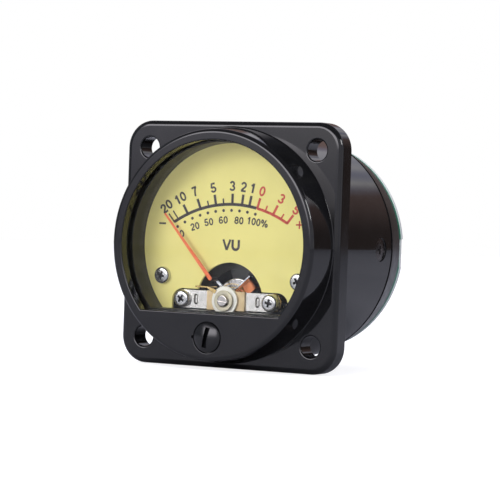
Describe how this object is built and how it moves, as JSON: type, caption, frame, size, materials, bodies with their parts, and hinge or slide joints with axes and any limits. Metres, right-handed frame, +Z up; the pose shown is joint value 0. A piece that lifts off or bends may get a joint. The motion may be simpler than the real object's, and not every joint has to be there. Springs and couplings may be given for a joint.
{
  "type": "analog vu meter",
  "caption": "Round-bezel panel level meter with a D-shaped window, moving-coil needle movement, zero adjuster, rear terminals and a square mounting flange.",
  "frame": {"origin": "centre of the flange's rear face, the face that seats on the panel, on the barrel's axis", "axes": "+Y along the barrel, from the dial towards the terminals, so the dial looks towards -Y; +Z up the dial; +X to the right as the dial is read"},
  "size_m": [0.045, 0.0474, 0.045],
  "materials": {
    "base_plastic": "satin",
    "black_case": "gloss",
    "board_laminate": "satin",
    "brass_metal": "satin",
    "bridge_metal": "satin",
    "bright_steel": "polished",
    "clear_window": "gloss",
    "copper_wire": "satin",
    "dial_card": "matte",
    "diode_glass": "gloss",
    "frame_plastic": "matte",
    "header_plastic": "satin",
    "ivory_surround": "satin",
    "jewel_glass": "polished",
    "lamp_glass": "gloss",
    "light_alloy": "satin",
    "magnet_metal": "satin",
    "phenolic": "satin",
    "red_needle": "satin",
    "red_wire": "satin",
    "resistor_body": "satin",
    "tinned_metal": "satin",
    "white_plastic": "satin"
  },
  "bodies": {
    "root": {"front_case": "black_case", "window": "clear_window", "dial_surround": "ivory_surround", "dial_plate": "dial_card", "dial_screws": "bright_steel", "front_bridge": "bridge_metal", "bridge_screws": "bright_steel", "bridge_insulator": "phenolic", "rear_insulator": "phenolic", "front_posts": "brass_metal", "jewel_bush": "brass_metal", "lock_nut": "brass_metal", "front_jewel_screw": "bright_steel", "front_jewel": "jewel_glass", "rear_hairspring": "brass_metal", "core_magnet": "magnet_metal", "yoke_ring": "magnet_metal", "core_webs": "light_alloy", "movement_frame": "frame_plastic", "rear_posts": "brass_metal", "rear_bridge": "bridge_metal", "bridge_tags": "tinned_metal", "rear_bridge_screws": "bright_steel", "rear_spring_arm": "brass_metal", "rear_jewel_screw": "bright_steel", "rear_jewel": "jewel_glass", "rear_lock_nut": "brass_metal", "standoffs": "brass_metal", "standoff_screws": "bright_steel", "base": "base_plastic", "side_screws": "bright_steel", "circuit_board": "board_laminate", "board_screws": "bright_steel", "terminal_studs": "brass_metal", "solder_lugs": "tinned_metal", "terminal_nuts": "brass_metal", "lamps": "lamp_glass", "lamp_leads": "tinned_metal", "diodes": "diode_glass", "lamp_resistor": "resistor_body", "header_body": "header_plastic", "header_pins": "tinned_metal", "lead_wires": "red_wire"},
    "needle_system": {"needle": "red_needle", "pointer_carrier": "light_alloy", "tail_weight": "brass_metal", "coil_former": "light_alloy", "coil_winding": "copper_wire", "front_pivot": "bright_steel", "rear_pivot": "bright_steel"},
    "zero_lever": {"zero_lever": "white_plastic", "spring_arm": "brass_metal", "front_hairspring": "brass_metal"},
    "zero_adjuster": {"zero_adjuster": "black_case"}
  },
  "joints": [
    {"name": "needle_swing", "type": "hinge", "parent": "root", "child": "needle_system", "pos_m": [0, 0.0034, -0.01015], "axis": [0, 1, 0], "range_deg": [-2, 83], "stiffness_Nm_per_rad": 0.000006, "deforming": ["front_hairspring", "rear_hairspring"]},
    {"name": "zero_turn", "type": "hinge", "parent": "root", "child": "zero_adjuster", "pos_m": [0, -0.0095, -0.01665], "axis": [0, 1, 0], "range_deg": [-45, 45]},
    {"name": "lever_turn", "type": "hinge", "parent": "root", "child": "zero_lever", "pos_m": [0, -0.00435, -0.01015], "axis": [0, 1, 0], "range_deg": [-4.2, 4.2]}
  ],
  "couplings": [
    {"joint": "lever_turn", "follows": "zero_turn", "ratio": -0.092}
  ]
}
